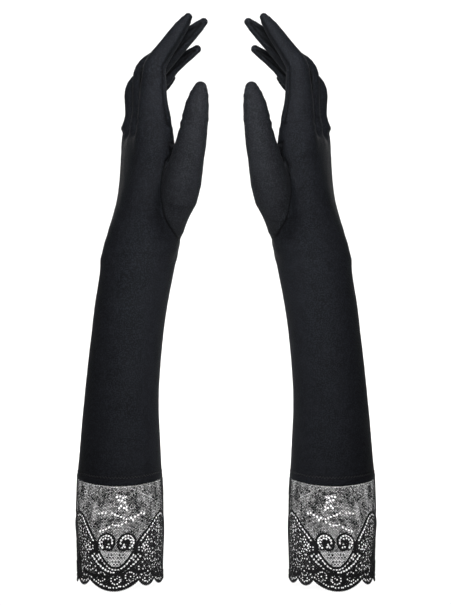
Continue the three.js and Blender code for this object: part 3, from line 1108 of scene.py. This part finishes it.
def cloth_top(u):
    """Height of the upper edge of the thick clothwork; above it is the light net."""
    far = np.abs(u)
    top = np.interp(far, *zip(*CLOTH_TOP))
    return np.where(far > FRONT, scallop(u) + 2.4, np.maximum(top, scallop(u) + 4.6))


def short_way(u):
    """u brought to within half a turn of the middle."""
    return (u + CUFF_ROUND / 2) % CUFF_ROUND - CUFF_ROUND / 2


def smile_line(u):
    """Height of the cord under the two rows of eyelets that join the hills."""
    return 13.5 + 0.0305 * u * u


def both(points):
    """The points and their mirror images."""
    return list(points) + [(-u, z) for u, z in points]


def round_turn(count):
    """Angles evenly spaced round a full turn."""
    return np.linspace(0, 2 * math.pi, count, endpoint=False)


def circle(u, z, radius, turn):
    return np.stack([u + radius * np.cos(turn), z + radius * np.sin(turn)], axis=1)


def turned(a, b, turn, u, z):
    """The points (a, b) turned about the origin and then moved to (u, z)."""
    c, s = math.cos(turn), math.sin(turn)
    return np.stack([u + a * c - b * s, z + a * s + b * c], axis=1)


def fine_curve(points, per_step=5):
    """A smooth open curve through the points."""
    points = np.array(points, float)
    ends = np.concatenate([[2 * points[0] - points[1]], points, [2 * points[-1] - points[-2]]])
    curve = [spline(*ends[i:i + 4], t)
             for i in range(len(points) - 1) for t in np.arange(per_step) / per_step]
    return np.array(curve + [points[-1]])


def parallel(points, distance):
    """The polyline moved sideways, to its right as it runs."""
    points = np.array(points, float)
    way = unit(np.gradient(points, axis=0))
    return points + distance * np.stack([way[:, 1], -way[:, 0]], axis=1)


def lace_eyelets():
    """Round holes worked into the lace, as u, z and radius; of two that touch the first stays."""
    holes = []

    def add(size, spots):
        holes.extend((u, z, size) for u, z in spots)

    for size, reach, angles in VOLUTE_ROWS:
        add(size, both(circle(*VOLUTE_MIDDLE, reach, np.radians(angles))))
    add(0.80, both(CURL_HOLES))
    upper = [(u, 18.0 + 0.058 * u * u) for u in (0, 2.3, 4.6, 6.8, 8.9, 10.8, 12.4, 13.9)]
    lower = [(u, 15.5 + 0.031 * u * u) for u in (1.15, 3.45, 5.75, 8.0, 10.2, 12.3, 14.3)]
    lower += [(16.2, 23.6), (18.0, 25.6), (19.8, 27.8)]
    middle = [(8.4, 19.9), (10.4, 21.5), (12.3, 23.4), (14.1, 25.6), (15.8, 27.9)]
    for row in (upper, lower, middle):
        add(0.97, both(row))
    hill = parallel(fine_curve(CLOTH_TOP[6:]), 2.0)
    add(0.95, both(walk(hill, np.arange(0.4, lengths(hill)[-1], 2.6))))
    add(1.05, NET_HOLES)
    for u, z in both(STARS):
        add(0.84, circle(u, z, 2.1, round_turn(6) + 0.3))
    for u, z in MEDALLIONS:
        add(0.66, circle(u, z, 3.6, round_turn(11)))
        add(0.5, [(u, z)])
    for u in np.arange(SCALLOPS[0] + 1.0, SCALLOPS[-1], 1.95):
        far = short_way(u)
        if abs(far) < FRONT:
            holes.append((far, float(scallop(u)) + 2.9, 0.56))
    rng = np.random.default_rng(11)
    for u in np.arange(-62, 62, 2.7):
        for z in np.arange(8, 58, 2.5):
            a, b = u + rng.uniform(-0.9, 0.9), z + rng.uniform(-0.9, 0.9)
            size = rng.uniform(0.36, 0.52)
            if b > cloth_top(a) - 4.2 or b < scallop(a) + 5.0 or abs(a) < 16 and b > 12:
                continue
            if rng.uniform() < 0.25:
                continue
            holes.append((a, b, size))
    kept = []
    for hole in holes:
        spot = np.array(hole[:2])
        if all(math.hypot(*(spot - k[:2])) > hole[2] + k[2] + 0.16 for k in kept):
            kept.append(hole)
    return np.array(kept)


def lace_cords():
    """Raised outlines of the lace as (points, half width)."""
    round_way = np.arange(SCALLOPS[0], SCALLOPS[0] + CUFF_ROUND + 0.1, 0.8)
    edge = np.stack([round_way, scallop(round_way) + 0.55], axis=1)
    inner = edge[np.abs(edge[:, 0]) < FRONT] + [0, 3.75]
    cords = [(edge, 0.70), (inner, 0.46)]
    shield = fine_curve([(0, 19.0), *CLOTH_TOP[1:5]])
    hill = fine_curve([(16.2, 30.6), *CLOTH_TOP[5:]])
    u = np.linspace(0, 22.0, 18)
    smile = np.stack([u, smile_line(u)], axis=1)
    spiral = fine_curve(VOLUTE, 4)
    bars = fine_curve([(16.4, 31.5), (19.0, 31.8), (21.6, 29.4), (22.2, 25.6)])
    second = parallel(hill, 3.7)[8:]
    for line, half in ((shield, 1.00), (hill, 0.90), (smile, 0.75), (spiral, 0.85),
                       (bars, 0.62), (second, 0.34)):
        cords.append((line, half))
        cords.append((line[::-1] * [-1, 1], half))
    for u, z in MEDALLIONS:
        for reach in (4.9, 2.2):
            cords.append((circle(u, z, reach, np.linspace(0, 2 * math.pi, 25)), 0.30))
    for u, z, long, wide, angle in SPRIGS:
        turn = np.linspace(0, 2 * math.pi, 21)
        point = 1 - 0.35 * np.cos(turn) ** 2
        a, b = long * np.cos(turn), wide * np.sin(turn) * point
        cords.append((turned(a, b, math.radians(angle), u, z), 0.17))
        vein = np.array([(-0.95, 0), (-0.3, 0.12), (0.4, -0.08), (1.25, 0.1)]) * long
        cords.append((turned(*fine_curve(vein, 3).T, math.radians(angle), u, z), 0.16))
    return cords


def hem_dip(angle):
    """How far the hem rides up at an angle from straight ahead: it dips in front."""
    return 0.3 - 1.8 * np.cos(2 * angle)


def cuff_point(u, z, out=0.0):
    """A place on the cuff in the glove's millimetres, standing out from its middle surface."""
    angle = np.radians(u / PER_DEGREE + LEAN(z))
    loose = np.clip(1 - z / 60, 0, 1)
    wave = 0.45 * loose * np.sin(5 * angle + 0.7) + 0.25 * loose * np.sin(9 * angle + 2.0)
    reach = out + wave
    x = -0.2 * np.clip(z / 60, 0, 1) + (LACE_THICK(z) + reach) * np.sin(angle)
    y = -(LACE_WIDE(z) + reach) * np.cos(angle)
    return np.stack([x, y, z + hem_dip(angle) * (z / HEM_Z) ** 2], axis=-1)


def net_size(u, z):
    """How far each of the net's cells is open, from its middle to the thread, in millimetres."""
    size = np.where(np.abs(u) < 62, 0.268, 0.590)
    size = size * (1 + 0.30 * np.random.default_rng(5).uniform(-1, 1, len(u)))
    for mu, mz, long, wide, angle in SPRIGS:
        c, s = math.cos(math.radians(angle)), math.sin(math.radians(angle))
        a = ((u - mu) * c + (z - mz) * s) / long
        b = (-(u - mu) * s + (z - mz) * c) / wide
        leaf = np.sqrt(a * a + (b / np.maximum(1 - 0.35 * np.abs(a), 0.3)) ** 2)
        size = np.where(leaf < 1, np.where(leaf < 0.55, 0.88, 0.78) * size, size)
    cloth = z < cloth_top(u)
    volute = (np.hypot(np.abs(u) - 8.5, z - 39.8) < 6.8) & (z > 32.5)
    pattern = np.sin(2.1 * u) * np.sin(1.7 * z + 0.4 * u)
    size = np.where(cloth | volute, 0.09 + 0.05 * pattern, size)
    smile = (z > smile_line(u) + 0.5) & cloth & (np.abs(u) < 21)
    rim = cloth & (np.abs(u) > 15) & (z > cloth_top(u) - 4.4) & (np.abs(u) < FRONT)
    flowers = cloth & (z < 17) & (np.abs(u) < 17)
    size = np.where(volute | smile | rim | flowers, 0.03, size)
    shield = (z < 32.2) & ~cloth & (np.abs(u) < 14.2)
    size = np.where(shield, 0.40, size)
    spots = (np.abs((u / 2.9 + np.round(z / 2.7) * 0.5) % 1 - 0.5) < 0.18)
    spots &= np.abs((z / 2.7 + 0.5) % 1 - 0.5) < 0.17
    return np.where(shield & spots, 0.15, size)


def honeycomb():
    """The net's cells: their middles and the corner points they share, on the unrolled cuff."""
    rows = int(LACE_TOP / NET_ROW) + 1
    r, c = np.meshgrid(np.arange(rows), np.arange(NET_COLUMNS), indexing="ij")
    z = (r + 0.35) * NET_ROW
    start = (c + 0.5 * (r % 2)) * NET_PITCH
    middle = np.stack([start, z], axis=-1).reshape(-1, 2)
    side = NET_PITCH / math.sqrt(3)
    turn = np.radians(30 + 60 * np.arange(6))
    corner = middle[:, None] + side * np.stack([np.cos(turn), np.sin(turn)], axis=-1)
    key = np.round(np.stack([(corner[..., 0] % CUFF_ROUND) / (NET_PITCH / 2),
                             corner[..., 1] / (side / 2)], axis=-1)).astype(int)
    key[..., 0] %= 2 * NET_COLUMNS
    _, first, which = np.unique(key.reshape(-1, 2), axis=0,
                                return_index=True, return_inverse=True)
    corners = corner.reshape(-1, 2)[first]
    for spots in (middle, corners):
        spots[:, 0] = short_way(spots[:, 0] - PER_DEGREE * LEAN(spots[:, 1]))
    return middle, corners, which.reshape(-1, 6)


def apart(a, b):
    """The difference a - b on the unrolled cuff, the short way round."""
    gap = a - b
    gap[..., 0] = short_way(gap[..., 0])
    return gap


def net_mesh(holes):
    """The net and clothwork as (u, z): each cell's outer ring, its open ring and its middle."""
    middle, corners, cells = honeycomb()
    size = net_size(middle[:, 0], middle[:, 1])
    kept = middle[:, 1] > scallop(middle[:, 0]) + 0.35
    kept &= middle[:, 1] < LACE_TOP - 0.3
    moved = corners.copy()
    for u, z, r in holes:
        off = apart(middle, np.array([u, z]))
        gap = np.hypot(off[:, 0], off[:, 1])
        if r < 0.6:
            near = gap.argmin()
            if gap[near] < 0.9:
                size[near] = max(0.54, size[near])
            continue
        inside = gap < r + 0.02
        if not inside.any():
            inside[gap.argmin()] = True
        kept[inside] = False
        rim = np.unique(cells[inside])
        way = apart(corners[rim], np.array([u, z]))
        reach = np.hypot(way[:, 0], way[:, 1])
        edge = reach > 0.55 * r
        target = np.array([u, z]) + way * (r / np.maximum(reach, 1e-6))[:, None]
        moved[rim[edge]] = target[edge]
    low = np.unique(cells[~kept & (middle[:, 1] < scallop(middle[:, 0]) + 0.36)])
    moved[low, 1] = np.maximum(moved[low, 1], scallop(moved[low, 0]) + 0.3)
    top = moved[:, 1] > LACE_TOP - 0.55
    moved[top, 1] = LACE_TOP
    cells, middle, size = cells[kept], middle[kept], size[kept]
    ring = moved[cells]
    ring[..., 0] = middle[:, None, 0] + apart(ring, middle[:, None])[..., 0]
    heart = ring.mean(axis=1)
    share = size / (NET_PITCH / 2)
    inner = heart[:, None] + (ring - heart[:, None]) * share[:, None, None]
    return ring, inner, heart


def tube_along(line, half, out, sides=6, closed=False):
    """A raised cord on the cuff along a line of (u, z); an open one has six sides."""
    way = np.gradient(line, axis=0)
    if closed:
        way[0] = way[-1] = line[1] - line[-2]
    way = unit(way)
    across = np.stack([way[:, 1], -way[:, 0]], axis=1)
    rows = []
    for a in round_turn(sides):
        spot = line + across * half * math.cos(a)
        rows.append(cuff_point(*spot.T, out + 0.62 * half * math.sin(a)))
    points = np.stack(rows, axis=1).reshape(-1, 3)
    faces = tube_faces(len(line), sides)
    if not closed:
        ends = np.arange(sides)[::-1], len(points) - sides + np.arange(sides)
        caps = [ring[pick] for ring in ends for pick in ([0, 1, 2, 3], [0, 3, 4, 5])]
        faces = np.concatenate([faces, caps])
    return points, faces


def gather(parts):
    """Joins (points, faces) pairs into one."""
    points, faces, total = [], [], 0
    for spots, quads in parts:
        points.append(spots)
        faces.append(np.array(quads) + total)
        total += len(spots)
    return np.concatenate(points), np.concatenate(faces)


def picots():
    """Tiny thread loops along the cut edge."""
    parts = []
    turn = np.linspace(-0.15 * math.pi, 1.15 * math.pi, 8)
    for u in np.arange(SCALLOPS[0], SCALLOPS[0] + CUFF_ROUND - 0.5, CUFF_ROUND / 158):
        here, ahead = float(scallop(u)), float(scallop(u + 0.3))
        tilt = math.atan2(ahead - here, 0.3)
        loop = turned(0.52 * np.cos(turn), 0.15 - 0.62 * np.sin(turn), tilt, u, here)
        parts.append(tube_along(loop, 0.15, 0.05))
    return parts


def build_lace():
    """A cuff's three panels of net and clothwork, and its cords, eyelet rims and picots."""
    holes = lace_eyelets()
    ring, inner, heart = net_mesh(holes)
    cords = [tube_along(line, half, 0.18) for line, half in lace_cords()]
    turn = np.linspace(0, 2 * math.pi, 11)
    rims = []
    for u, z, r in holes:
        if r < 0.6 or z > LACE_TOP - 2:
            continue
        rims.append(tube_along(circle(u, z, r + 0.08, turn), 0.16, 0.08, 4, closed=True))
    edges = [-CUFF_ROUND / 2, -CUFF_ROUND / 6, CUFF_ROUND / 6, CUFF_ROUND / 2]
    panels = []
    for low, high in zip(edges[:-1], edges[1:]):
        mine = (heart[:, 0] >= low) & (heart[:, 0] < high)
        outer, open_ring = ring[mine], inner[mine]
        count = len(outer)
        a = cuff_point(outer[..., 0], outer[..., 1], -0.06)
        b = cuff_point(open_ring[..., 0], open_ring[..., 1], 0.10)
        points = np.concatenate([a.reshape(-1, 3), b.reshape(-1, 3)])
        i = np.arange(count)[:, None] * 6 + np.arange(6)
        j = np.arange(count)[:, None] * 6 + (np.arange(6) + 1) % 6
        quads = np.stack([i, j, j + 6 * count, i + 6 * count], axis=-1).reshape(-1, 4)
        panels.append((points, quads))
    return panels, [gather(cords), gather(rims), gather(picots())]


def place_lace(side, panels, trims):
    """One cuff: its cords, rims and picots, and its panels, all riding on the arm."""
    trims = [on_arm(side, f"lace_{name}", *trim, LACE_YARN, "lace", "lace_cuff")
             for name, trim in zip(("cords", "eyelet_rims", "picots"), trims)]
    for number, panel in enumerate(panels, 1):
        piece = on_arm(side, f"lace_panel_{number}", *panel, LACE_YARN, "lace", "lace_cuff")


# ---------------------------------------------------------------- camera, light and floor

CAMERA_BACK = 1.33       # metres from the gloves to the camera
CAMERA_HIGH = 0.2268     # metres up, half way up the gloves
HALF_VIEW = 0.18255884   # half the picture's height, per metre of distance
FLOOR_DROP = 0.0006      # the floor lies this far under the lace


def add_camera():
    scene = bpy.context.scene
    scene.camera = linked("camera", bpy.data.cameras.new("camera"))
    scene.camera.data.sensor_fit = "VERTICAL"
    scene.camera.data.angle_y = 2 * math.atan(HALF_VIEW)
    scene.camera.data.clip_end = 50
    scene.camera.location = (0, MID_Y * MM - CAMERA_BACK, CAMERA_HIGH)
    scene.camera.rotation_euler = (math.radians(90), 0, 0)


def add_paper():
    """The floor, which sweeps up into a backdrop behind the gloves."""
    profile = [(-4 + 0.3 * k, 0) for k in range(22)]
    profile += [(2.6 + 2 * math.sin(turn), 2 - 2 * math.cos(turn))
                for turn in np.linspace(0, math.pi / 2, 19)]
    profile.append((4.6, 6))
    spots = [(x, y, z - FLOOR_DROP) for y, z in profile for x in (-6, 6)]
    sheet = bpy.data.meshes.new("floor")
    sheet.from_pydata(spots, [], [(k - 2, k - 1, k + 1, k) for k in range(2, len(spots), 2)])
    sheet.shade_smooth()
    shader = Shader("studio paper")
    tone = shader.mapped(shader.noise(3.0, 2.0), 0.3, 0.7, 0.83, 0.86)
    sheet.materials.append(shader.finish({"Base Color": tone, "Roughness": 0.9}))
    ground = linked("floor", sheet)
    ground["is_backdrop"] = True
    return ground


def lamp(name, place, aim, size, power, lit=None):
    """A soft rectangular lamp, for all or only for the objects of one collection."""
    light = bpy.data.lights.new(name, "AREA")
    light.shape = "RECTANGLE"
    light.size, light.size_y = size
    light.energy = power
    shown = linked(name, light)
    shown.location = place
    shown.rotation_euler = (Vector(aim) - Vector(place)).to_track_quat("-Z", "Y").to_euler()
    shown.light_linking.receiver_collection = lit
    return shown


def group(name, things):
    lit = bpy.data.collections.new(name)
    for thing in things:
        lit.objects.link(thing)
    return lit


def build_stage():
    add_camera()
    paper = group("paper lit", [add_paper()])
    for side, way in (("left", 1), ("right", -1)):
        glove = group(f"{side} glove lit", [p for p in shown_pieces() if p.name.startswith(side)])
        lamp(f"{side} key", (way * 0.60, -0.68, 0.72), (-way * 0.085, 0, 0.29), (0.55, 0.7), 17,
             glove)
    lamp("front softbox", (0, -2.4, 1.5), (0, 0, 0.22), (1.6, 1.2), 3)
    hands = lamp("hand light", (0, -1.15, 0.72), (0, 0, 0.45), (0.5, 0.2), 3)
    hands.data.spread = math.radians(42)
    lamp("back light", (0, 1.5, 1.0), (0, 0, 0.25), (1.6, 0.7), 20, group("gloves lit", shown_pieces()))
    for name, place, aim, power in (
        ("floor light", (0, -0.2, 2.6), (0, 0.6, 0), 68),
        ("backdrop left", (-1.2, 1.4, 2.2), (0, 3.6, 0.9), 62),
        ("backdrop right", (1.2, 1.4, 2.2), (0, 3.6, 0.9), 62),
    ):
        wash = lamp(name, place, aim, (1.8, 1.4), power, paper)
        wash.light_linking.blocker_collection = paper
    world = bpy.data.worlds.new("world")
    bpy.context.scene.world = world
    world.use_nodes = True
    world.node_tree.nodes["Background"].inputs["Color"].default_value = (1, 1, 1, 1)
    world.node_tree.nodes["Background"].inputs["Strength"].default_value = 0.10
    bpy.context.scene.view_settings.view_transform = "Standard"


def build_all():
    points, quads, codes, seam_groove_and_shade = build_skin()
    normals = point_normals(points, quads)
    edge = points[:, 2] < JOIN_Z + 0.01
    normals[edge] = unit(gradient(points[edge])[1])
    lace = build_lace()
    for side in SIDES:
        build_arm(side)
        build_stitching(side)
        cut_pieces(side, (points, quads, codes, seam_groove_and_shade, normals))
        place_lace(side, *lace)


build_all()
build_stage()
